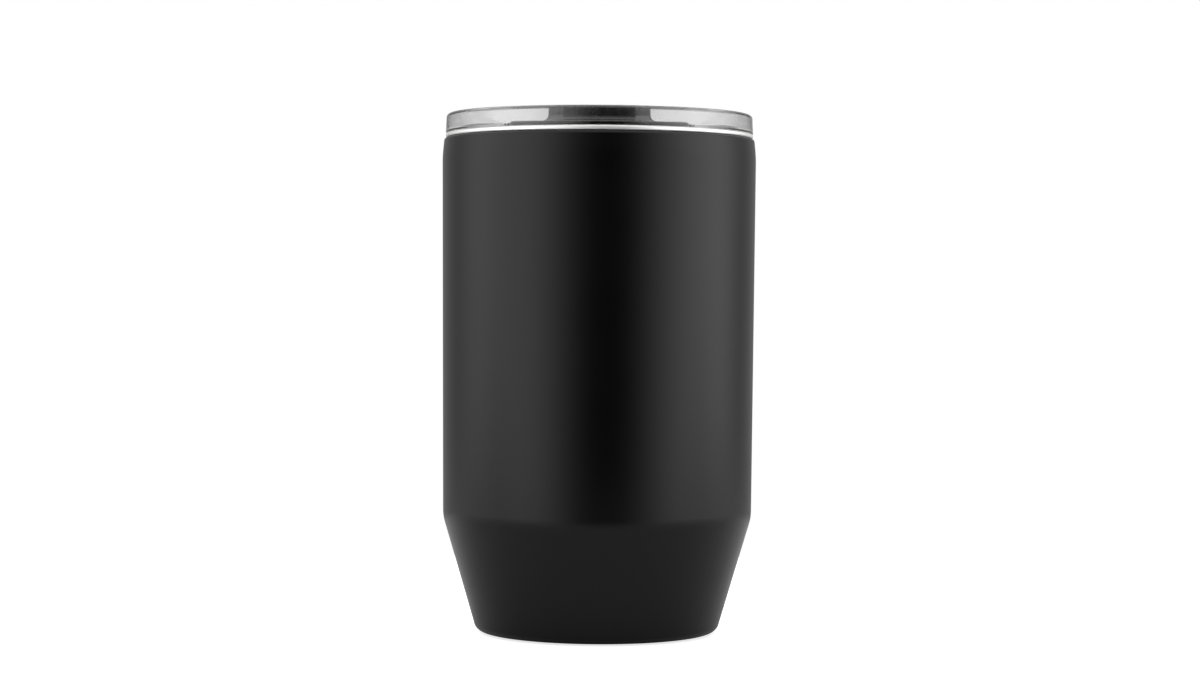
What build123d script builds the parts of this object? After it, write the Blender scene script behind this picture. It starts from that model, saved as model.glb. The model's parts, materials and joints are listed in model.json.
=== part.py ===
from build123d import *
from math import atan2, cos, tan
import os

# A double-wall, vacuum-insulated steel tumbler with a press-in slider lid, in millimetres.
# +Z is up, the origin is the centre of the face it stands on, and -Y is the drinking side.

# Outer shell
body_r = 40.0  # widest radius, just under the shoulder
shoulder_z = 121.4  # the shoulder starts to round in here
shoulder_r = 39.55
shell_top_z = 126.2
shoulder_round = 25.0
top_edge_round = 0.9
knee_r = 39.4
knee_z = 29.8
knee_round = 12.0
foot_r = 30.75  # where the cone would meet the foot plane
foot_z = 0.4
foot_round = 2.6
cover_r = 27.5  # weld seam between the shell's foot and the base cover
shell_wall = 0.6

# Inner liner and its drinking lip
vacuum_gap = 2.8
liner_wall = 0.6
mouth_r = 37.4  # bore that the lid presses into
lip_r = 39.2
lip_height = 1.2
lip_round = 0.5
flare_top_z = 111.0
flare_bottom_z = 106.5
flare_round = 4.0
liner_seam_z = 17.0  # weld seam between the liner tube and its bottom
liner_floor_z = 9.8
floor_round = 5.0

# Inside the vacuum space
foil_thickness = 0.15
foil_bottom_z = 42.0
foil_top_z = 100.0
foil_seam_gap = 1.0
base_wall = 0.5
vacuum_base_z = 3.4
vacuum_rim_top_z = 6.6
dimple_top_z = 4.6
dimple_r = 3.2
dimple_run = 0.9  # how far the dimple's wall slopes outwards
dimple_round = 0.4
vacuum_rim_round = 1.2
port_r = 1.2
seal_depth = 0.8
seal_r = 2.9
pill_chamfer = 0.3
getter_x = 15.0
getter_r = 3.5
getter_height = 2.2
clip_wall = 0.3
clip_height = 1.3
clip_tab_length = 4.0
clip_tab_width = 3.0

# Base cover and foot pad
recess_r = 25.6
recess_z = 1.5
recess_run = 0.5
cover_wall = 0.6
cover_round = 0.3
pad_r = 24.8
pad_chamfer = 0.3
groove_pitch = 4.0
groove_width = 1.2
groove_depth = 0.4
groove_count = 3

# Lid body
seat_gap = 0.05  # running gap, so that the lid can be turned in the mouth
lid_top_z = 132.3
flange_top_r = 39.0
flange_top_round = 1.1
crest_r = 35.7  # inner edge of the flange's crest
crest_round = 0.5
deck_r = 35.3
deck_round = 1.4
deck_top_z = 126.6
deck_bottom_z = 124.4
guide_r = 37.0
guide_bottom_z = 123.2
plug_r = 35.9
plug_step_z = 122.6
plug_bottom_z = 114.2
plug_round = 0.8
plug_inner_r = 32.8
plug_inner_top_r = 32.4
plug_root_round = 2.0
groove_r = 34.6
groove_top_z = 121.2
groove_bottom_z = 116.8
edge_round = 0.2

# Openings and rails in the deck
sip_r = 29.0  # centre line of the sip hole, an arc round the lid's axis
sip_span = 22.0  # degrees of that arc
sip_width = 6.0
slot_front_y = -16.0
slot_width = 6.0
slot_corner = 1.0
vent_y = 28.0
vent_r = 1.2
rail_gap = 0.3
rail_width = 1.2
rail_height = 1.5
rail_front_y = -25.0
rail_back_y = 8.0

# Gasket
gasket_gap = 0.05
gasket_base_r = 35.7
gasket_lip_r = mouth_r - gasket_gap
gasket_lip_thickness = 0.9  # at the root
gasket_lip_tip = 0.3
gasket_lip_lift = 0.4  # how far each lip turns up
gasket_lip_inset = 1.1

# Slider, its seal and its retainer
slide_travel = 11.0
plate_width = 42.0
plate_front_r = 34.8
plate_back_y = 5.0
plate_thickness = 1.2
plate_back_corner = 14.0
plate_front_corner = 2.0
plate_edge_round = 0.4
seal_thickness = 0.7
seal_gap = 0.05
seal_inset = 0.8
grip_front_width = 17.2
grip_width = 25.0  # across the shoulders
grip_back_width = 19.4
grip_front_y = -31.0
grip_shoulder_y = -25.0
grip_back_y = -10.0
grip_prow = 1.2  # how far the front's centre line stands out from its corners
grip_front_corner = 0.8
grip_shoulder_corner = 3.0
grip_back_corner = 2.0
grip_height = 3.2
grip_crest = 4.0  # length of the flat crest behind the front face
grip_back_height = 1.8
grip_dish = 45.0  # radius of the dished thumb surface behind the crest
grip_round = 0.5
grip_flare = 1.4  # radius of the hollow where the grip runs out into the plate
notch_r = 0.4  # the centre mark, a notch down the grip's front
stem_length = 6.8
stem_width = 5.6
stem_bottom_z = 121.6
barb_height = 0.9
barb_reach = 0.5
retainer_width = 17.0
retainer_length = 14.0
retainer_thickness = 1.5
retainer_gap = 0.1
retainer_corner = 2.0

# Derived sizes
cone_angle = atan2(knee_r - foot_r, knee_z - foot_z)
wall_stack = shell_wall + vacuum_gap + liner_wall
liner_r = body_r - wall_stack
lip_top_z = shell_top_z + lip_height
seat_z = lip_top_z + seat_gap
rail_x = plate_width / 2 + rail_gap + rail_width / 2
slot_back_y = slot_front_y + stem_length + slide_travel + 2 * retainer_gap


def cone_radius(z, depth):
    """Radius of the shell's cone at height z, measured depth inside its outer face."""
    return foot_r + (z - foot_z) * tan(cone_angle) - depth / cos(cone_angle)


liner_knee_z = foot_z + (liner_r + wall_stack / cos(cone_angle) - foot_r) / tan(cone_angle)

# Outer shell: shoulder, near-cylindrical wall, cone and rounded foot, one sheet thick
with BuildPart() as outer_shell:
    with BuildSketch(Plane.XZ):
        with BuildLine():
            FilletPolyline(
                (mouth_r + liner_wall, shell_top_z),
                (shoulder_r, shell_top_z),
                (body_r, shoulder_z),
                (knee_r, knee_z),
                (foot_r, foot_z),
                (cover_r, foot_z),
                radius=(top_edge_round, shoulder_round, knee_round, foot_round),
            )
            offset(amount=shell_wall, side=Side.RIGHT)
        make_face()
    revolve(axis=Axis.Z)

# Inner liner: flared mouth, straight wall and the upper part of the cone, with a solid rolled lip
with BuildPart() as inner_liner:
    with BuildSketch(Plane.XZ):
        with BuildLine():
            FilletPolyline(
                (mouth_r, lip_top_z - lip_height / 2),
                (mouth_r, flare_top_z),
                (liner_r, flare_bottom_z),
                (liner_r, liner_knee_z),
                (cone_radius(liner_seam_z, wall_stack), liner_seam_z),
                radius=(flare_round, flare_round, knee_round),
            )
            offset(amount=liner_wall, side=Side.LEFT)
        make_face()
    revolve(axis=Axis.Z)
    with BuildSketch(Plane.XZ):
        with Locations(((mouth_r + lip_r) / 2, lip_top_z - lip_height / 2)):
            RectangleRounded(lip_r - mouth_r, lip_height, lip_round)
    revolve(axis=Axis.Z)

# Liner bottom: a drawn dish, welded to the liner tube on the cone
with BuildPart() as liner_bottom:
    with BuildSketch(Plane.XZ):
        with BuildLine():
            FilletPolyline(
                (cone_radius(liner_seam_z, wall_stack), liner_seam_z),
                (cone_radius(liner_floor_z, wall_stack), liner_floor_z),
                (0, liner_floor_z),
                radius=floor_round,
            )
            offset(amount=liner_wall, side=Side.LEFT)
        make_face()
    revolve(axis=Axis.Z)

# Reflective foil: one wrap round the liner, open at its seam
foil_inner_r = liner_r + liner_wall
with BuildPart() as reflective_foil:
    with BuildSketch(Plane.XY.offset(foil_bottom_z)):
        Circle(foil_inner_r + foil_thickness)
        Circle(foil_inner_r, mode=Mode.SUBTRACT)
        with Locations((0, foil_inner_r)):
            Rectangle(foil_seam_gap, 4 * foil_thickness, mode=Mode.SUBTRACT)
    extrude(amount=foil_top_z - foil_bottom_z)

# Vacuum base: the disc that closes the vacuum space, with a raised dimple and the evacuation port
vacuum_r = cone_radius(vacuum_base_z, shell_wall)
with BuildPart() as vacuum_base:
    with BuildSketch(Plane.XZ):
        with BuildLine():
            FilletPolyline(
                (port_r, dimple_top_z),
                (dimple_r, dimple_top_z),
                (dimple_r + dimple_run, vacuum_base_z),
                (vacuum_r, vacuum_base_z),
                (cone_radius(vacuum_rim_top_z, shell_wall), vacuum_rim_top_z),
                radius=(dimple_round, dimple_round, vacuum_rim_round),
            )
            offset(amount=base_wall, side=Side.LEFT)
        make_face()
    revolve(axis=Axis.Z)

# Port seal: solder glass melted into the dimple and the port
seal_bottom_z = dimple_top_z - seal_depth
with BuildPart() as port_seal:
    with BuildSketch(Plane.XZ):
        with BuildLine():
            Polyline(
                (0, seal_bottom_z),
                (seal_r, seal_bottom_z),
                (seal_r, dimple_top_z),
                (port_r, dimple_top_z),
                (port_r, dimple_top_z + base_wall),
                (0, dimple_top_z + base_wall),
                close=True,
            )
        make_face()
    revolve(axis=Axis.Z)

# Getter: a gas absorbing pill in a small clip, spot-welded to the vacuum base
clip_z = vacuum_base_z + base_wall
with BuildPart() as getter_clip:
    with BuildSketch(Plane.XY.offset(clip_z)):
        with Locations((getter_x, 0)):
            Circle(getter_r + clip_wall)
            Rectangle(clip_tab_width, 2 * (getter_r + clip_tab_length))
    extrude(amount=clip_wall)
    with BuildSketch(Plane.XY.offset(clip_z + clip_wall)):
        with Locations((getter_x, 0)):
            Circle(getter_r + clip_wall)
            Circle(getter_r, mode=Mode.SUBTRACT)
    extrude(amount=clip_height - clip_wall)

with BuildPart() as getter_pill:
    with BuildSketch(Plane.XY.offset(clip_z + clip_wall)):
        with Locations((getter_x, 0)):
            Circle(getter_r)
    extrude(amount=getter_height)
    chamfer(getter_pill.faces().sort_by(Axis.Z)[-1].edges(), length=pill_chamfer)

# Base cover: the outer bottom, with a shallow recess for the pad
with BuildPart() as base_cover:
    with BuildSketch(Plane.XZ):
        with BuildLine():
            FilletPolyline(
                (cover_r, foot_z),
                (recess_r, foot_z),
                (recess_r - recess_run, recess_z),
                (0, recess_z),
                radius=(cover_round, cover_round),
            )
            offset(amount=cover_wall, side=Side.RIGHT)
        make_face()
    revolve(axis=Axis.Z)

# Foot pad: a silicone disc with ring grooves underneath
with BuildPart() as foot_pad:
    with BuildSketch(Plane.XY):
        Circle(pad_r)
    extrude(amount=recess_z)
    chamfer(foot_pad.faces().sort_by(Axis.Z)[0].edges(), length=pad_chamfer)
    with BuildSketch(Plane.XY):
        for ring in range(groove_count):
            ring_r = pad_r - (ring + 1) * groove_pitch
            Circle(ring_r)
            Circle(ring_r - groove_width, mode=Mode.SUBTRACT)
    extrude(amount=groove_depth, mode=Mode.SUBTRACT)

# Lid body: clear flange, dished deck and plug wall, with the sip hole, slider slot, vent and rails.
# The flange is sharp round its lower edge, where the mould parts.
with BuildPart() as lid_body:
    with BuildSketch(Plane.XZ):
        with BuildLine():
            FilletPolyline(
                (0, deck_top_z),
                (deck_r, deck_top_z),
                (crest_r, lid_top_z),
                (flange_top_r, lid_top_z),
                (lip_r, seat_z),
                (guide_r, seat_z),
                (guide_r, guide_bottom_z),
                (plug_r, plug_step_z),
                (plug_r, groove_top_z),
                (groove_r, groove_top_z),
                (groove_r, groove_bottom_z),
                (plug_r, groove_bottom_z),
                (plug_r, plug_bottom_z),
                (plug_inner_r, plug_bottom_z),
                (plug_inner_top_r, deck_bottom_z),
                (0, deck_bottom_z),
                radius=(
                    0,
                    deck_round,
                    crest_round,
                    flange_top_round,
                    0,
                    0,
                    edge_round,
                    edge_round,
                    edge_round,
                    0,
                    0,
                    edge_round,
                    plug_round,
                    plug_round,
                    plug_root_round,
                    0,
                ),
                close=True,
            )
        make_face()
    revolve(axis=Axis.Z)
    with BuildSketch(Plane.XY.offset(deck_top_z)):
        for side in (-1, 1):
            with Locations((side * rail_x, (rail_front_y + rail_back_y) / 2)):
                SlotOverall(rail_back_y - rail_front_y, rail_width, rotation=90)
    extrude(amount=rail_height)
    with BuildSketch(Plane.XY.offset(deck_bottom_z)):
        SlotArc(CenterArc((0, 0), sip_r, 270 - sip_span / 2, sip_span), sip_width)
        with Locations((0, (slot_front_y + slot_back_y) / 2)):
            RectangleRounded(slot_width, slot_back_y - slot_front_y, slot_corner)
        with Locations((0, vent_y)):
            Circle(vent_r)
    extrude(amount=deck_top_z - deck_bottom_z, mode=Mode.SUBTRACT)

# Lid gasket: a silicone ring with two soft lips that wipe the mouth
gasket_inner_r = groove_r + gasket_gap
gasket_top_z = groove_top_z - gasket_gap
gasket_bottom_z = groove_bottom_z + gasket_gap
with BuildPart() as lid_gasket:
    with BuildSketch(Plane.XZ):
        with BuildLine():
            Polyline(
                (gasket_inner_r, gasket_bottom_z),
                (gasket_base_r, gasket_bottom_z),
                (gasket_base_r, gasket_top_z),
                (gasket_inner_r, gasket_top_z),
                close=True,
            )
        make_face()
        for lip_z in (gasket_bottom_z + gasket_lip_inset, gasket_top_z - gasket_lip_inset):
            with BuildLine():
                Polyline(
                    (gasket_inner_r, lip_z - gasket_lip_thickness / 2),
                    (gasket_base_r, lip_z - gasket_lip_thickness / 2),
                    (gasket_lip_r, lip_z + gasket_lip_lift),
                    (gasket_lip_r, lip_z + gasket_lip_lift + gasket_lip_tip),
                    (gasket_base_r, lip_z + gasket_lip_thickness / 2),
                    (gasket_inner_r, lip_z + gasket_lip_thickness / 2),
                    close=True,
                )
            make_face()
    revolve(axis=Axis.Z)

# Slider: a thin black plate with a thumb grip and a barbed stem that goes down through the deck
seal_z = deck_top_z + seal_gap
plate_z = seal_z + seal_thickness
plate_top_z = plate_z + plate_thickness
grip_top_z = plate_top_z + grip_height
grip_back_z = plate_top_z + grip_back_height
crest_y = grip_front_y + grip_crest
grip_front_edge_y = grip_front_y + grip_prow + grip_front_corner

# The grip's front is a shallow prow, narrower than the shoulders, and its top is dished behind the crest
with BuildPart() as grip:
    with BuildSketch(Plane.XY.offset(plate_z)):
        with BuildLine():
            FilletPolyline(
                (0, grip_front_y),
                (grip_front_width / 2, grip_front_y + grip_prow),
                (grip_width / 2, grip_shoulder_y),
                (grip_back_width / 2, grip_back_y),
                (0, grip_back_y),
                radius=(grip_front_corner, grip_shoulder_corner, grip_back_corner),
            )
            mirror(about=Plane.YZ)
        make_face()
    extrude(amount=grip_top_z - plate_z)
    with BuildSketch(Plane.YZ):
        with BuildLine():
            RadiusArc((crest_y, grip_top_z), (grip_back_y, grip_back_z), -grip_dish)
            Polyline((grip_back_y, grip_back_z), (grip_back_y, grip_top_z), (crest_y, grip_top_z))
        make_face()
    extrude(amount=grip_width, both=True, mode=Mode.SUBTRACT)
    crest_edges = grip.faces().filter_by(Axis.Z).sort_by(Axis.Z)[-1].edges()
    fillet(crest_edges.filter_by(lambda edge: edge.center().Y < grip_front_edge_y), grip_round)

stem_y = slot_front_y + retainer_gap + stem_length / 2
retainer_top_z = deck_bottom_z - retainer_gap
barb_top_z = retainer_top_z - retainer_thickness
with BuildPart() as slider:
    with BuildSketch(Plane.XY.offset(plate_z)) as plate_outline:
        with Locations((0, (plate_back_y - plate_front_r) / 2)):
            Rectangle(plate_width, plate_back_y + plate_front_r)
        Circle(plate_front_r, mode=Mode.INTERSECT)
        fillet(plate_outline.vertices().group_by(Axis.Y)[-1], plate_back_corner)
        fillet(plate_outline.vertices().group_by(Axis.Y)[0], plate_front_corner)
    extrude(amount=plate_thickness)
    fillet(slider.faces().sort_by(Axis.Z)[-1].edges(), plate_edge_round)
    add(grip.part)
    plate_top = slider.faces().filter_by(Axis.Z).group_by(Axis.Z)[-2].sort_by(SortBy.AREA)[-1]
    fillet(plate_top.inner_wires()[0].edges(), grip_flare)
    with BuildSketch(Plane.XY.offset(plate_top_z + grip_flare)):
        with Locations((0, grip_front_y)):
            Circle(notch_r)
    extrude(amount=grip_height, mode=Mode.SUBTRACT)
    with BuildSketch(Plane.XY.offset(plate_z)):
        with Locations((0, stem_y)):
            RectangleRounded(stem_width, stem_length, slot_corner)
    extrude(amount=stem_bottom_z - plate_z)
    with BuildSketch(Plane.XZ.offset(-stem_y - stem_length / 2 + slot_corner)):
        for side in (-1, 1):
            with BuildLine():
                Polyline(
                    (side * stem_width / 2, barb_top_z),
                    (side * (stem_width / 2 + barb_reach), barb_top_z),
                    (side * stem_width / 2, barb_top_z - barb_height),
                    close=True,
                )
            make_face()
    extrude(amount=stem_length - 2 * slot_corner)

# Slider seal: a silicone pad between the plate and the deck, closed round the stem
with BuildPart() as slider_seal:
    with BuildSketch(Plane.XY.offset(seal_z)):
        offset(plate_outline.sketch_local, amount=-seal_inset)
        with Locations((0, stem_y)):
            RectangleRounded(stem_width, stem_length, slot_corner, mode=Mode.SUBTRACT)
    extrude(amount=seal_thickness)

# Slider retainer: a clip under the deck, snapped over the stem
with BuildPart() as slider_retainer:
    with BuildSketch(Plane.XY.offset(retainer_top_z)):
        with Locations((0, stem_y)):
            RectangleRounded(retainer_width, retainer_length, retainer_corner)
            RectangleRounded(stem_width, stem_length, slot_corner, mode=Mode.SUBTRACT)
    extrude(amount=-retainer_thickness)

pieces = {
    "outer_shell": outer_shell,
    "inner_liner": inner_liner,
    "liner_bottom": liner_bottom,
    "reflective_foil": reflective_foil,
    "vacuum_base": vacuum_base,
    "port_seal": port_seal,
    "getter_clip": getter_clip,
    "getter_pill": getter_pill,
    "base_cover": base_cover,
    "foot_pad": foot_pad,
    "lid_body": lid_body,
    "lid_gasket": lid_gasket,
    "slider": slider,
    "slider_seal": slider_seal,
    "slider_retainer": slider_retainer,
}
os.makedirs("parts", exist_ok=True)
for name, piece in pieces.items():
    piece.part.label = name
    export_step(piece.part, f"parts/{name}.step")
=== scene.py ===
"""Looks for the insulated tumbler: materials, moulded and welded details, a plain studio and the camera."""

import json
import math

import bpy
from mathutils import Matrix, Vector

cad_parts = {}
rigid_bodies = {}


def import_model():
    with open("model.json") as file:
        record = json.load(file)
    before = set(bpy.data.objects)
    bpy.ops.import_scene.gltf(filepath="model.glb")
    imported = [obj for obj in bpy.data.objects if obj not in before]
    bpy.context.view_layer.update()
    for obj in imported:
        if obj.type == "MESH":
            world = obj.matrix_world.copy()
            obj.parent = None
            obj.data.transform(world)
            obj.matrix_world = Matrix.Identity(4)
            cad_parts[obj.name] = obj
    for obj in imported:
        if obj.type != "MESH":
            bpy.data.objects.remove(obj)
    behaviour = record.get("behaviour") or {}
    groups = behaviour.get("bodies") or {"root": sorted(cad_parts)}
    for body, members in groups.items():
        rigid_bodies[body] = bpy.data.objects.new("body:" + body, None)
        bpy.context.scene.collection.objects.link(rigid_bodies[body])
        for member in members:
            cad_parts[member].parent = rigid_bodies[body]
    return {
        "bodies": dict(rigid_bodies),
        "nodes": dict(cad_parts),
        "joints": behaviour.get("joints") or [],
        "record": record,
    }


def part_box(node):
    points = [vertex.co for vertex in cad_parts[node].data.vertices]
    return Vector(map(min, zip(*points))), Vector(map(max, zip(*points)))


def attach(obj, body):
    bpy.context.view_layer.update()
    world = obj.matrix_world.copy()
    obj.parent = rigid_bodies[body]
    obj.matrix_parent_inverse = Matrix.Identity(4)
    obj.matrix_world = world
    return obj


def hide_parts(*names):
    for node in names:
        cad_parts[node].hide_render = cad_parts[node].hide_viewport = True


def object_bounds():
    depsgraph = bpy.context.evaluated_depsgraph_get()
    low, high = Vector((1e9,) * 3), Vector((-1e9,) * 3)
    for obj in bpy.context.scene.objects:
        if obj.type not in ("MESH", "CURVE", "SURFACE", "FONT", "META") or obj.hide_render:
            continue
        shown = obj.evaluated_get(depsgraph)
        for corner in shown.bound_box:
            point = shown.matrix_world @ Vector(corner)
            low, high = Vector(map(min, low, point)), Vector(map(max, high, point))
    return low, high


MM = 0.001

# Turned pieces, in millimetres and degrees
SEGMENTS = 288  # round the axis
ARC_STEP = 4.0
RUN_STEP = 6.0
RUN_END = 0.2  # a short step at each end of a straight run keeps its shading straight
SHARP = 35.0
SMALL_SEGMENTS = 64  # round a small ring
BEAD_SIDES = 12  # round a bead's section

# The shell's and the liner's sheets, in millimetres, as radii and heights
WALL = 0.6
BODY_R = 40.0
MOUTH_R = 37.4
SHOULDER_R = 39.55
SHOULDER_Z = 121.4
KNEE = (39.4, 29.8)
FOOT_R = 30.75
COVER_R = 27.5
TOP_EDGE_ROUND = 0.9
SHOULDER_ROUND = 25.0
KNEE_ROUND = 12.0
FOOT_ROUND = 2.6
FLARE_TOP_Z = 111.0
FLARE_BOTTOM_Z = 106.5
FLARE_ROUND = 4.0
WALL_STACK = 4.0  # the shell's sheet, the vacuum space and the liner's sheet
LIP_HEIGHT = 1.2
LIP_ROUND = 0.5

# Moulded and welded details, in millimetres
RIDGE_YS = (-25.2, -22.4, -19.6, -16.8)  # thumb ridges in the grip's dish
RIDGE_LENGTH = 13.0
RIDGE_WIDTH = 1.1
RIDGE_HEIGHT = 0.35
RIDGE_ROOT = 0.1  # how deep a ridge starts inside the grip
RIDGE_CREST = 0.01  # half the flat crest's width
RIDGE_LEVELS = 6
RIDGE_END_STEPS = 8
WELD_RIPPLES = 150  # round a weld bead
WELD_RIPPLE = 0.16
STEPS_PER_RIPPLE = 6
LINER_WELD = (0.24, 0.5)  # a bead's width and rise
BASE_WELD = (1.0, 0.12)
VENT_Y = 28.0
VENT_R = 1.2
COLLAR_WIDTH = 0.8
COLLAR_HEIGHT = 0.3
COLLAR_ROOT = 0.05
COLLAR_ROUNDS = (0.12, 0.25)
PIN_MARKS = ((19.0, 19.0), (-19.0, 19.0), (25.5, -12.0), (-25.5, -12.0))  # ejector pins, under the deck
PIN_R = 2.1
PIN_RING = (0.12, 0.06)  # half the ring's width and height
DECK_THICKNESS = 2.2
CLEAR_DECK = (14.0, 14.0)  # a place on the deck with nothing over it
RAY_START = 1000.0  # a height above everything
LINE_STRETCH = 60.0  # how much longer a brushing line is than it is wide

# Camera: where the tumbler is looked at from, in metres and degrees
CAMERA_DISTANCE = 0.6951
CAMERA_SIDE = 0.0004
CAMERA_HEIGHT = 0.0863
CAMERA_PITCH = 1.16
CAMERA_ROLL = 0.37
SENSOR_WIDTH = 36.0
LENS = 81.46
NEAREST = 0.01
FARTHEST = 20.0

# Studio
TABLE_FRONT = -0.17
TABLE_BACK = 0.2
TABLE_HALF_WIDTH = 0.65
TABLE_THICKNESS = 0.02
TABLE_GLOW = 0.75
RIGHT_RAMP = (16.0, 80.0)  # degrees round from the camera, over which the right side's light rises
RIGHT_LIGHT = 3.05
LEFT_RAMP = (-3.0, -58.0)  # and the left side's
LEFT_LIGHT = 2.3
BACK_RAMP = (0.0, 0.65)  # the direction's y, over which the light behind takes over
BACK_LIGHT = 0.42
SIDE_TOP = (0.3, 0.8)  # the direction's z, over which the side light fades
TOP_LIGHT = 0.25
OVERHEAD = (0.38, 0.8)  # the direction's z, over which the overhead light takes over
OVERHEAD_LIGHT = 1.15
THROUGH_LIGHT = 0.56  # the most light of the sides and the back that is seen through the clear lid


def node(tree, kind, **settings):
    """Adds a shader node and sets its properties."""
    made = tree.nodes.new(kind)
    for name, value in settings.items():
        setattr(made, name, value)
    return made


def feed(tree, value, socket):
    """Links a socket to an input, or sets the input's own value."""
    if isinstance(value, bpy.types.NodeSocket):
        tree.links.new(value, socket)
    else:
        socket.default_value = value


def math_node(tree, operation, *values):
    """A Math node's result for the given sockets or numbers."""
    made = node(tree, "ShaderNodeMath", operation=operation)
    for value, socket in zip(values, made.inputs):
        feed(tree, value, socket)
    return made.outputs[0]


def map_range(tree, value, low, high, out_low, out_high):
    """Maps a number from one range to another along a smooth step, clamped at the ends."""
    made = node(tree, "ShaderNodeMapRange", interpolation_type="SMOOTHSTEP")
    for number, socket in zip((value, low, high, out_low, out_high), made.inputs):
        feed(tree, number, socket)
    return made.outputs[0]


def mix_colors(tree, factor, first, second):
    """Mixes two colours. Their sockets go by number, because the Mix node's socket names repeat."""
    made = node(tree, "ShaderNodeMix", data_type="RGBA")
    feed(tree, factor, made.inputs["Factor"])
    feed(tree, first, made.inputs[6])
    feed(tree, second, made.inputs[7])
    return made.outputs[2]


def mix_numbers(tree, factor, first, second):
    """Mixes two numbers."""
    made = node(tree, "ShaderNodeMix", data_type="FLOAT")
    feed(tree, factor, made.inputs[0])
    feed(tree, first, made.inputs[2])
    feed(tree, second, made.inputs[3])
    return made.outputs[0]


def noise(tree, period, detail=2.0, roughness=0.5, stretch=(1, 1, 1), coords=None):
    """Noise on the object's own coordinates, with a period in millimetres."""
    if coords is None:
        coords = node(tree, "ShaderNodeTexCoord").outputs["Object"]
    mapping = node(tree, "ShaderNodeMapping")
    feed(tree, coords, mapping.inputs["Vector"])
    mapping.inputs["Scale"].default_value = [1 / (period * MM * s) for s in stretch]
    made = node(tree, "ShaderNodeTexNoise")
    feed(tree, mapping.outputs[0], made.inputs["Vector"])
    made.inputs["Scale"].default_value = 1.0
    made.inputs["Detail"].default_value = detail
    made.inputs["Roughness"].default_value = roughness
    return made.outputs["Fac"]


def turned_coords(tree):
    """Coordinates for lines that run round the Z axis: long round it, and short along the profile."""
    coords = node(tree, "ShaderNodeTexCoord").outputs["Object"]
    split = node(tree, "ShaderNodeSeparateXYZ")
    feed(tree, coords, split.inputs[0])
    squares = math_node(
        tree,
        "ADD",
        math_node(tree, "MULTIPLY", split.outputs[0], split.outputs[0]),
        math_node(tree, "MULTIPLY", split.outputs[1], split.outputs[1]),
    )
    profile = math_node(tree, "ADD", math_node(tree, "SQRT", squares), split.outputs[2])
    join = node(tree, "ShaderNodeCombineXYZ")
    feed(tree, math_node(tree, "DIVIDE", split.outputs[0], LINE_STRETCH), join.inputs[0])
    feed(tree, math_node(tree, "DIVIDE", split.outputs[1], LINE_STRETCH), join.inputs[1])
    feed(tree, profile, join.inputs[2])
    return join.outputs[0]


def bump(tree, height, depth, below=None):
    """A bump of the given depth in millimetres."""
    made = node(tree, "ShaderNodeBump")
    made.inputs["Distance"].default_value = depth * MM
    feed(tree, height, made.inputs["Height"])
    if below is not None:
        feed(tree, below, made.inputs["Normal"])
    return made.outputs[0]


def surface(name, **values):
    """A material with one Principled shader, and its tree and shader."""
    made = bpy.data.materials.new(name)
    made.use_nodes = True
    tree = made.node_tree
    shader = tree.nodes["Principled BSDF"]
    for key, value in values.items():
        shader.inputs[key.replace("_", " ")].default_value = value
    return made, tree, shader


def rgb(grey, tint=(1.0, 1.0, 1.0)):
    """A colour from a grey level and a tint."""
    return [grey * part for part in tint] + [1.0]


def rounded(points, radii):
    """A path through (radius, height) points, with an arc at each inner point and stepped straight runs."""
    path = [points[0]]

    def run_to(end):
        (x0, y0), (x1, y1) = path[-1], end
        length = math.hypot(x1 - x0, y1 - y0)
        if length > 3 * RUN_END:
            steps = math.ceil((length - 2 * RUN_END) / RUN_STEP)
            stops = [RUN_END + (length - 2 * RUN_END) * i / steps for i in range(steps + 1)]
            path.extend((x0 + (x1 - x0) * s / length, y0 + (y1 - y0) * s / length) for s in stops)
        path.append(end)

    for before, corner, after, radius in zip(points, points[1:], points[2:], radii):
        arms = [(p[0] - corner[0], p[1] - corner[1]) for p in (before, after)]
        arms = [(x / math.hypot(x, y), y / math.hypot(x, y)) for x, y in arms]
        half = math.acos(arms[0][0] * arms[1][0] + arms[0][1] * arms[1][1]) / 2
        reach = radius / math.tan(half)
        middle = (arms[0][0] + arms[1][0], arms[0][1] + arms[1][1])
        to_centre = radius / math.sin(half) / math.hypot(*middle)
        centre = (corner[0] + middle[0] * to_centre, corner[1] + middle[1] * to_centre)
        starts = [(corner[0] + x * reach, corner[1] + y * reach) for x, y in arms]
        run_to(starts[0])
        first, last = [math.atan2(y - centre[1], x - centre[0]) for x, y in starts]
        sweep = math.remainder(last - first, math.tau)
        steps = max(2, math.ceil(abs(sweep) / math.radians(ARC_STEP)))
        for i in range(1, steps + 1):
            angle = first + sweep * i / steps
            path.append((centre[0] + radius * math.cos(angle), centre[1] + radius * math.sin(angle)))
    run_to(points[-1])
    return path


def beside(path, distance):
    """The path moved sideways: to its right for a positive distance."""
    moved = []
    for i, (x, y) in enumerate(path):
        (x0, y0), (x1, y1) = path[max(i - 1, 0)], path[min(i + 1, len(path) - 1)]
        length = math.hypot(x1 - x0, y1 - y0)
        moved.append((x + (y1 - y0) / length * distance, y - (x1 - x0) / length * distance))
    return moved


def smooth_piece(name, points, faces, look, body, slot):
    """A smooth-shaded piece from points in millimetres, which rides on a body."""
    mesh = bpy.data.meshes.new(name)
    mesh.from_pydata([[value * MM for value in point] for point in points], [], faces)
    mesh.polygons.foreach_set("use_smooth", [True] * len(faces))
    mesh.set_sharp_from_angle(angle=math.radians(SHARP))
    mesh.materials.append(look)
    made = bpy.data.objects.new(name, mesh)
    bpy.context.scene.collection.objects.link(made)
    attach(made, body)
    return made


def ring(outlines):
    """The points and faces of a ring, through closed outlines that follow each other all the way round."""
    count = len(outlines[0])
    faces = []
    for i in range(len(outlines)):
        here, there = i * count, (i + 1) % len(outlines) * count
        for j in range(count):
            after = (j + 1) % count
            faces.append((here + j, there + j, there + after, here + after))
    return [point for outline in outlines for point in outline], faces


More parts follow.
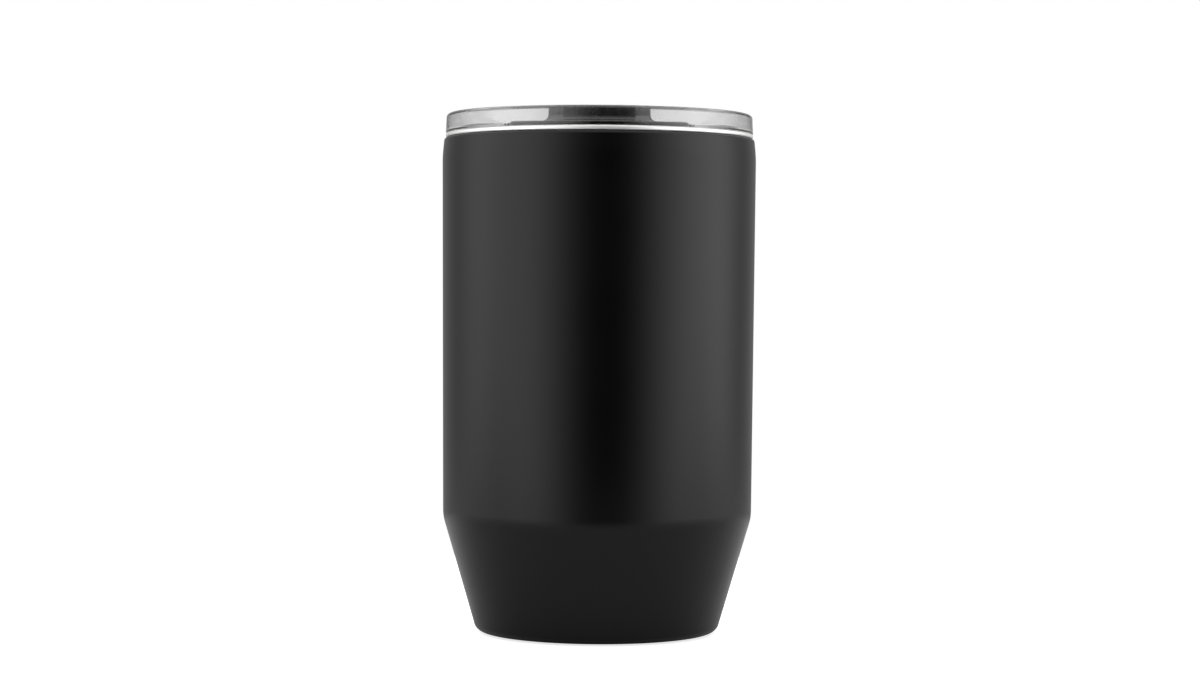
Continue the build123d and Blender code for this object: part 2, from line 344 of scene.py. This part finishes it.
def turned(outline, segments=SEGMENTS, centre=(0.0, 0.0)):
    """A ring turned round an upright axis from a closed outline of (radius, height) points."""
    area = sum(a[0] * b[1] - b[0] * a[1] for a, b in zip(outline, outline[1:] + outline[:1]))
    outline = outline if area > 0 else outline[::-1]
    x, y = centre
    outlines = []
    for i in range(segments):
        turn = math.tau * i / segments
        outlines.append([(x + r * math.cos(turn), y + r * math.sin(turn), z) for r, z in outline])
    return ring(outlines)


def powder_coat():
    """Matte black powder coat: a fine orange peel over a slightly uneven sheen."""
    made, tree, shader = surface("powder_coat", IOR=1.33)
    cloud = noise(tree, 22.0, detail=3.0)
    colour = mix_colors(tree, cloud, rgb(0.0005), rgb(0.0009))
    feed(tree, colour, shader.inputs["Base Color"])
    fine = noise(tree, 0.5, detail=2.0)
    rough = math_node(tree, "MULTIPLY_ADD", fine, 0.03, map_range(tree, cloud, 0.3, 0.7, 0.275, 0.295))
    feed(tree, rough, shader.inputs["Roughness"])
    peel = bump(tree, noise(tree, 1.3, detail=2.0), 0.006)
    grain = bump(tree, fine, 0.003, peel)
    feed(tree, grain, shader.inputs["Normal"])
    return made


def turned_steel(name, grey, low_rough, high_rough, depth):
    """Stainless steel with fine turning or brushing lines round the axis."""
    made, tree, shader = surface(name, Metallic=1.0)
    lines = noise(tree, 0.12, detail=4.0, roughness=0.65, coords=turned_coords(tree))
    smudge = noise(tree, 9.0, detail=3.0)
    colour = mix_colors(tree, lines, rgb(grey * 0.93, (1, 0.995, 0.985)), rgb(grey, (1, 1, 0.995)))
    feed(tree, colour, shader.inputs["Base Color"])
    rough = map_range(tree, lines, 0.25, 0.75, low_rough, high_rough)
    feed(tree, math_node(tree, "MULTIPLY_ADD", smudge, 0.05, rough), shader.inputs["Roughness"])
    feed(tree, bump(tree, lines, depth), shader.inputs["Normal"])
    return made


def pressed_steel():
    """Satin pressed sheet, with a light grain and drawing marks."""
    made, tree, shader = surface("pressed_steel", Metallic=1.0)
    grain = noise(tree, 0.35, detail=4.0, roughness=0.6)
    stain = noise(tree, 6.0, detail=4.0)
    colour = mix_colors(tree, stain, rgb(0.46, (1, 0.99, 0.97)), rgb(0.58))
    feed(tree, colour, shader.inputs["Base Color"])
    feed(tree, map_range(tree, stain, 0.3, 0.7, 0.28, 0.42), shader.inputs["Roughness"])
    feed(tree, bump(tree, grain, 0.004), shader.inputs["Normal"])
    return made


def foil():
    """Bright foil with soft wrinkles."""
    made, tree, shader = surface("foil", Metallic=1.0)
    creases = noise(tree, 7.0, detail=5.0, roughness=0.6)
    colour = mix_colors(tree, creases, rgb(0.84), rgb(0.9))
    feed(tree, colour, shader.inputs["Base Color"])
    feed(tree, map_range(tree, creases, 0.3, 0.7, 0.1, 0.22), shader.inputs["Roughness"])
    feed(tree, bump(tree, creases, 0.25), shader.inputs["Normal"])
    return made


def solder_glass():
    """A glossy dark bead of fused glass with tiny bubbles."""
    made, tree, shader = surface("solder_glass", Roughness=0.12, IOR=1.55)
    bubbles = noise(tree, 0.6, detail=3.0)
    colour = mix_colors(tree, bubbles, rgb(0.035, (1, 1.05, 1)), rgb(0.07, (1, 1.05, 1)))
    feed(tree, colour, shader.inputs["Base Color"])
    feed(tree, bump(tree, bubbles, 0.02), shader.inputs["Normal"])
    return made


def getter_alloy():
    """Pressed and sintered metal powder."""
    made, tree, shader = surface("getter_alloy", Metallic=0.8)
    grain = noise(tree, 0.18, detail=5.0, roughness=0.7)
    colour = mix_colors(tree, grain, rgb(0.12), rgb(0.26, (1, 0.98, 0.95)))
    feed(tree, colour, shader.inputs["Base Color"])
    feed(tree, map_range(tree, grain, 0.3, 0.7, 0.55, 0.8), shader.inputs["Roughness"])
    feed(tree, bump(tree, grain, 0.03), shader.inputs["Normal"])
    return made


def black_silicone():
    """Moulded silicone: a dusty matte skin."""
    made, tree, shader = surface("black_silicone", IOR=1.41, Sheen_Weight=0.15, Sheen_Roughness=0.5)
    dust = noise(tree, 2.5, detail=5.0, roughness=0.65)
    skin = noise(tree, 0.22, detail=3.0)
    feed(tree, mix_colors(tree, dust, rgb(0.011), rgb(0.019)), shader.inputs["Base Color"])
    feed(tree, map_range(tree, dust, 0.3, 0.7, 0.55, 0.68), shader.inputs["Roughness"])
    feed(tree, bump(tree, skin, 0.006), shader.inputs["Normal"])
    return made


def clear_silicone():
    """Translucent silicone with a milky body."""
    made, tree, shader = surface(
        "clear_silicone", IOR=1.41, Transmission_Weight=0.55, Subsurface_Weight=0.4, Subsurface_Scale=0.002
    )
    milk = noise(tree, 3.0, detail=3.0)
    feed(tree, mix_colors(tree, milk, rgb(0.78), rgb(0.86)), shader.inputs["Base Color"])
    feed(tree, map_range(tree, milk, 0.3, 0.7, 0.34, 0.44), shader.inputs["Roughness"])
    feed(tree, bump(tree, noise(tree, 0.4, detail=2.0), 0.003), shader.inputs["Normal"])
    return made


def clear_plastic():
    """Clear moulded plastic, with the slow flow ripples of a thick moulding."""
    made, tree, shader = surface("clear_plastic", IOR=1.54, Transmission_Weight=1.0)
    flow = noise(tree, 7.0, detail=1.5, stretch=(1, 1, 0.5))
    haze = noise(tree, 1.6, detail=3.0)
    feed(tree, mix_colors(tree, flow, rgb(0.955), rgb(0.985)), shader.inputs["Base Color"])
    feed(tree, map_range(tree, haze, 0.35, 0.7, 0.008, 0.03), shader.inputs["Roughness"])
    feed(tree, bump(tree, flow, 0.015), shader.inputs["Normal"])
    return made


def black_plastic():
    """Black moulded plastic with a fine spark-eroded satin."""
    made, tree, shader = surface("black_plastic", IOR=1.5)
    cloud = noise(tree, 5.0, detail=3.0)
    grain = noise(tree, 0.16, detail=3.0, roughness=0.6)
    feed(tree, mix_colors(tree, cloud, rgb(0.017), rgb(0.022)), shader.inputs["Base Color"])
    feed(tree, map_range(tree, cloud, 0.3, 0.7, 0.24, 0.32), shader.inputs["Roughness"])
    feed(tree, bump(tree, grain, 0.003), shader.inputs["Normal"])
    return made


def dress(frame):
    """Gives every CAD node its material."""
    steel = turned_steel("liner_steel", 0.86, 0.4, 0.54, 0.002)
    coat = powder_coat()
    pressed = pressed_steel()
    silicone = black_silicone()
    plastic = black_plastic()
    looks = {
        "outer_shell": coat,
        "base_cover": coat,
        "inner_liner": steel,
        "liner_bottom": steel,
        "reflective_foil": foil(),
        "vacuum_base": pressed,
        "getter_clip": pressed,
        "getter_pill": getter_alloy(),
        "port_seal": solder_glass(),
        "foot_pad": silicone,
        "slider_seal": silicone,
        "lid_body": clear_plastic(),
        "lid_gasket": clear_silicone(),
        "slider": plastic,
        "slider_retainer": plastic,
    }
    for name, look in looks.items():
        for slot in frame["nodes"][name].material_slots:
            slot.material = look
    shell_wall(coat)
    liner_wall(steel)
    welds(coat, steel)
    thumb_ridges(frame, plastic)
    lid_marks(frame, looks["lid_body"])


def cone_radius(z, depth, foot_z):
    """The radius of the shell's cone at a height, measured depth inside its outer face."""
    run, rise = KNEE[0] - FOOT_R, KNEE[1] - foot_z
    return FOOT_R + (z - foot_z) * run / rise - depth * math.hypot(run, rise) / rise


def seam_height(foot_z):
    """The height of the liner's seam, from the lower outer corner of its slanting end."""
    run, rise = KNEE[0] - FOOT_R, KNEE[1] - foot_z
    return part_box("inner_liner")[0].z / MM + WALL * run / math.hypot(run, rise)


def shell_wall(look):
    """The outer shell, finely turned: shoulder, straight wall, cone and rounded foot."""
    low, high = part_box("outer_shell")
    foot_z, top_z = low.z / MM, high.z / MM
    outside = rounded(
        [
            (MOUTH_R + WALL, top_z),
            (SHOULDER_R, top_z),
            (BODY_R, SHOULDER_Z),
            KNEE,
            (FOOT_R, foot_z),
            (COVER_R, foot_z),
        ],
        (TOP_EDGE_ROUND, SHOULDER_ROUND, KNEE_ROUND, FOOT_ROUND),
    )
    points, faces = turned(outside + beside(outside, WALL)[::-1])
    made = smooth_piece("shell_wall", points, faces, look, "tumbler", "powder_coat")
    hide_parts("outer_shell")


def liner_wall(look):
    """The inner liner, finely turned: rolled lip, flared mouth, straight wall and cone."""
    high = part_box("inner_liner")[1]
    foot_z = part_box("outer_shell")[0].z / MM
    seam_z, top_z, lip_r = seam_height(foot_z), high.z / MM, high.x / MM
    bore_r = BODY_R - WALL_STACK
    slope = (KNEE[1] - foot_z) / (KNEE[0] - FOOT_R)
    knee_z = foot_z + slope * (bore_r - cone_radius(foot_z, WALL_STACK, foot_z))
    lip_bottom_z = top_z - LIP_HEIGHT
    inside = rounded(
        [
            (MOUTH_R + WALL, lip_bottom_z),
            (lip_r, lip_bottom_z),
            (lip_r, top_z),
            (MOUTH_R, top_z),
            (MOUTH_R, FLARE_TOP_Z),
            (bore_r, FLARE_BOTTOM_Z),
            (bore_r, knee_z),
            (cone_radius(seam_z, WALL_STACK, foot_z), seam_z),
        ],
        (LIP_ROUND, LIP_ROUND, LIP_ROUND, FLARE_ROUND, FLARE_ROUND, KNEE_ROUND),
    )
    wall = [point for point in inside if point[1] < lip_bottom_z]
    points, faces = turned(inside + beside(wall, -WALL)[::-1])
    made = smooth_piece("liner_wall", points, faces, look, "tumbler", "liner_steel")
    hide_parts("inner_liner")


def weld_bead(name, radius, height, size, look, slot):
    """A rippled weld bead round the axis, half sunk in the seam that it closes."""
    width, rise = size
    outlines = []
    count = STEPS_PER_RIPPLE * WELD_RIPPLES
    for i in range(count):
        turn = math.tau * i / count
        swell = 1 + WELD_RIPPLE * math.cos(WELD_RIPPLES * turn)
        section = []
        for j in range(BEAD_SIDES):
            angle = math.tau * j / BEAD_SIDES
            r = radius + width / 2 * swell * math.cos(angle)
            section.append((r * math.cos(turn), r * math.sin(turn), height + rise * swell * math.sin(angle)))
        outlines.append(section)
    smooth_piece(name, *ring(outlines), look, "tumbler", slot)


def welds(coat, steel):
    """The liner's seam inside the cup, and the seam between the shell's foot and the base cover."""
    foot_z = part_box("outer_shell")[0].z / MM
    seam_z = seam_height(foot_z)
    seam_r = cone_radius(seam_z, WALL_STACK, foot_z)
    weld_bead("liner_weld", seam_r, seam_z, LINER_WELD, steel, "liner_steel")
    weld_bead("base_weld", COVER_R, foot_z, BASE_WELD, coat, "powder_coat")


def height_over(frame, name, x, y):
    """The height of a CAD node's top over a point, all in millimetres."""
    graph = bpy.context.evaluated_depsgraph_get()
    place = frame["nodes"][name].ray_cast((x * MM, y * MM, RAY_START * MM), (0, 0, -1), depsgraph=graph)[1]
    return place.z / MM


def thumb_ridges(frame, look):
    """Rounded bars across the grip's dish, as one moulded set."""
    points, faces = [], []
    for y in RIDGE_YS:
        base = height_over(frame, "slider", 0.0, y)
        loops = []
        for level in range(RIDGE_LEVELS + 1):
            angle = math.pi / 2 * level / RIDGE_LEVELS
            reach = RIDGE_WIDTH / 2 * math.cos(angle) + RIDGE_CREST
            top = base - RIDGE_ROOT + (RIDGE_HEIGHT + RIDGE_ROOT) * math.sin(angle)
            loop = []
            for end in (1, -1):
                for i in range(RIDGE_END_STEPS + 1):
                    turn = math.pi * i / RIDGE_END_STEPS - end * math.pi / 2
                    x = end * (RIDGE_LENGTH - RIDGE_WIDTH) / 2 + reach * math.cos(turn)
                    loop.append((x, y + reach * math.sin(turn), top))
            loops.append(loop)
        start, count = len(points), len(loops[0])
        for i in range(len(loops) - 1):
            low, high = start + i * count, start + (i + 1) * count
            for j in range(count):
                after = (j + 1) % count
                faces.append((low + j, low + after, high + after, high + j))
        faces.append(tuple(start + j for j in reversed(range(count))))
        faces.append(tuple(start + (len(loops) - 1) * count + j for j in range(count)))
        points += [point for loop in loops for point in loop]
    smooth_piece("thumb_ridges", points, faces, look, "slider", "black_plastic")


def lid_marks(frame, look):
    """The vent's raised collar, and the ejector pins' rings under the deck."""
    deck_z = height_over(frame, "lid_body", *CLEAR_DECK)
    section = rounded(
        [
            (VENT_R, deck_z - COLLAR_ROOT),
            (VENT_R, deck_z + COLLAR_HEIGHT),
            (VENT_R + COLLAR_WIDTH, deck_z + COLLAR_HEIGHT),
            (VENT_R + COLLAR_WIDTH, deck_z - COLLAR_ROOT),
        ],
        COLLAR_ROUNDS,
    )
    points, faces = turned(section, SMALL_SEGMENTS, (0.0, VENT_Y))
    smooth_piece("vent_collar", points, faces, look, "lid", "clear_plastic")
    under_z = deck_z - DECK_THICKNESS
    width, height = PIN_RING
    angles = [math.tau * i / BEAD_SIDES for i in range(BEAD_SIDES)]
    section = [(PIN_R + width * math.cos(a), under_z + height * math.sin(a)) for a in angles]
    for number, centre in enumerate(PIN_MARKS, start=1):
        points, faces = turned(section, SMALL_SEGMENTS, centre)
        smooth_piece(f"pin_mark_{number}", points, faces, look, "lid", "clear_plastic")


def box_mesh(name, low, high):
    """A plain flat-sided mesh, for the table."""
    corners = [(x, y, z) for x in (low[0], high[0]) for y in (low[1], high[1]) for z in (low[2], high[2])]
    faces = [(0, 1, 3, 2), (4, 6, 7, 5), (0, 4, 5, 1), (2, 3, 7, 6), (0, 2, 6, 4), (1, 5, 7, 3)]
    mesh = bpy.data.meshes.new(name)
    mesh.from_pydata(corners, [], faces)
    made = bpy.data.objects.new(name, mesh)
    bpy.context.scene.collection.objects.link(made)
    return made


def table(height):
    """A white table that ends a little in front of the tumbler, so that its walls reflect the dark room."""
    low = (-TABLE_HALF_WIDTH, TABLE_FRONT, height - TABLE_THICKNESS)
    high = (TABLE_HALF_WIDTH, TABLE_BACK, height)
    made = box_mesh("table", low, high)
    look, tree, shader = surface("table_top", Roughness=0.8)
    fleck = noise(tree, 4.0, detail=3.0)
    feed(tree, mix_colors(tree, fleck, rgb(0.52), rgb(0.54)), shader.inputs["Base Color"])
    shader.inputs["Emission Color"].default_value = (1, 1, 1, 1)
    seen = node(tree, "ShaderNodeLightPath").outputs["Is Camera Ray"]
    feed(tree, math_node(tree, "MULTIPLY", seen, TABLE_GLOW), shader.inputs["Emission Strength"])
    made.data.materials.append(look)


def room():
    """The room's light: dark behind the camera, bright at the sides, softer behind, white to the camera."""
    world = bpy.data.worlds.new("studio")
    bpy.context.scene.world = world
    world.use_nodes = True
    tree = world.node_tree
    background = tree.nodes["Background"]
    direction = node(tree, "ShaderNodeTexCoord").outputs["Generated"]
    split = node(tree, "ShaderNodeSeparateXYZ")
    feed(tree, direction, split.inputs[0])
    x, y, z = split.outputs
    turn = math_node(tree, "ARCTAN2", x, math_node(tree, "MULTIPLY", y, -1.0))
    right = map_range(tree, turn, *[math.radians(v) for v in RIGHT_RAMP], 0.0, RIGHT_LIGHT)
    left = map_range(tree, turn, *[math.radians(v) for v in LEFT_RAMP], 0.0, LEFT_LIGHT)
    sides = math_node(tree, "ADD", left, right)
    low = map_range(tree, z, *SIDE_TOP, 1.0, TOP_LIGHT)
    sides = math_node(tree, "MULTIPLY", sides, low)
    rays = node(tree, "ShaderNodeLightPath").outputs
    back = mix_numbers(tree, rays["Is Transmission Ray"], BACK_LIGHT, THROUGH_LIGHT)
    light = mix_numbers(tree, map_range(tree, y, *BACK_RAMP, 0.0, 1.0), sides, back)
    capped = math_node(tree, "MINIMUM", light, THROUGH_LIGHT)
    light = mix_numbers(tree, rays["Is Transmission Ray"], light, capped)
    light = math_node(tree, "ADD", light, map_range(tree, z, *OVERHEAD, 0.0, OVERHEAD_LIGHT))
    light = mix_numbers(tree, rays["Is Camera Ray"], light, 1.0)
    feed(tree, light, background.inputs["Strength"])
    background.inputs["Color"].default_value = (1, 1, 1, 1)


def camera():
    """The camera, at the photograph's height, distance and tilt."""
    data = bpy.data.cameras.new("camera")
    data.sensor_width = SENSOR_WIDTH
    data.lens = LENS
    data.clip_start = NEAREST
    data.clip_end = FARTHEST
    made = bpy.data.objects.new("camera", data)
    bpy.context.scene.collection.objects.link(made)
    made.location = (CAMERA_SIDE, -CAMERA_DISTANCE, CAMERA_HEIGHT)
    made.rotation_euler = (math.radians(90 - CAMERA_PITCH), math.radians(-CAMERA_ROLL), 0.0)
    bpy.context.scene.camera = made


def main():
    """Dresses the CAD and sets the stage round it, with the table at the CAD's lowest point."""
    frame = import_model()
    cad_low, cad_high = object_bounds()
    dress(frame)
    table(cad_low.z)
    room()
    camera()
    view = bpy.context.scene.view_settings
    view.view_transform = "Standard"
    view.look = "None"


main()
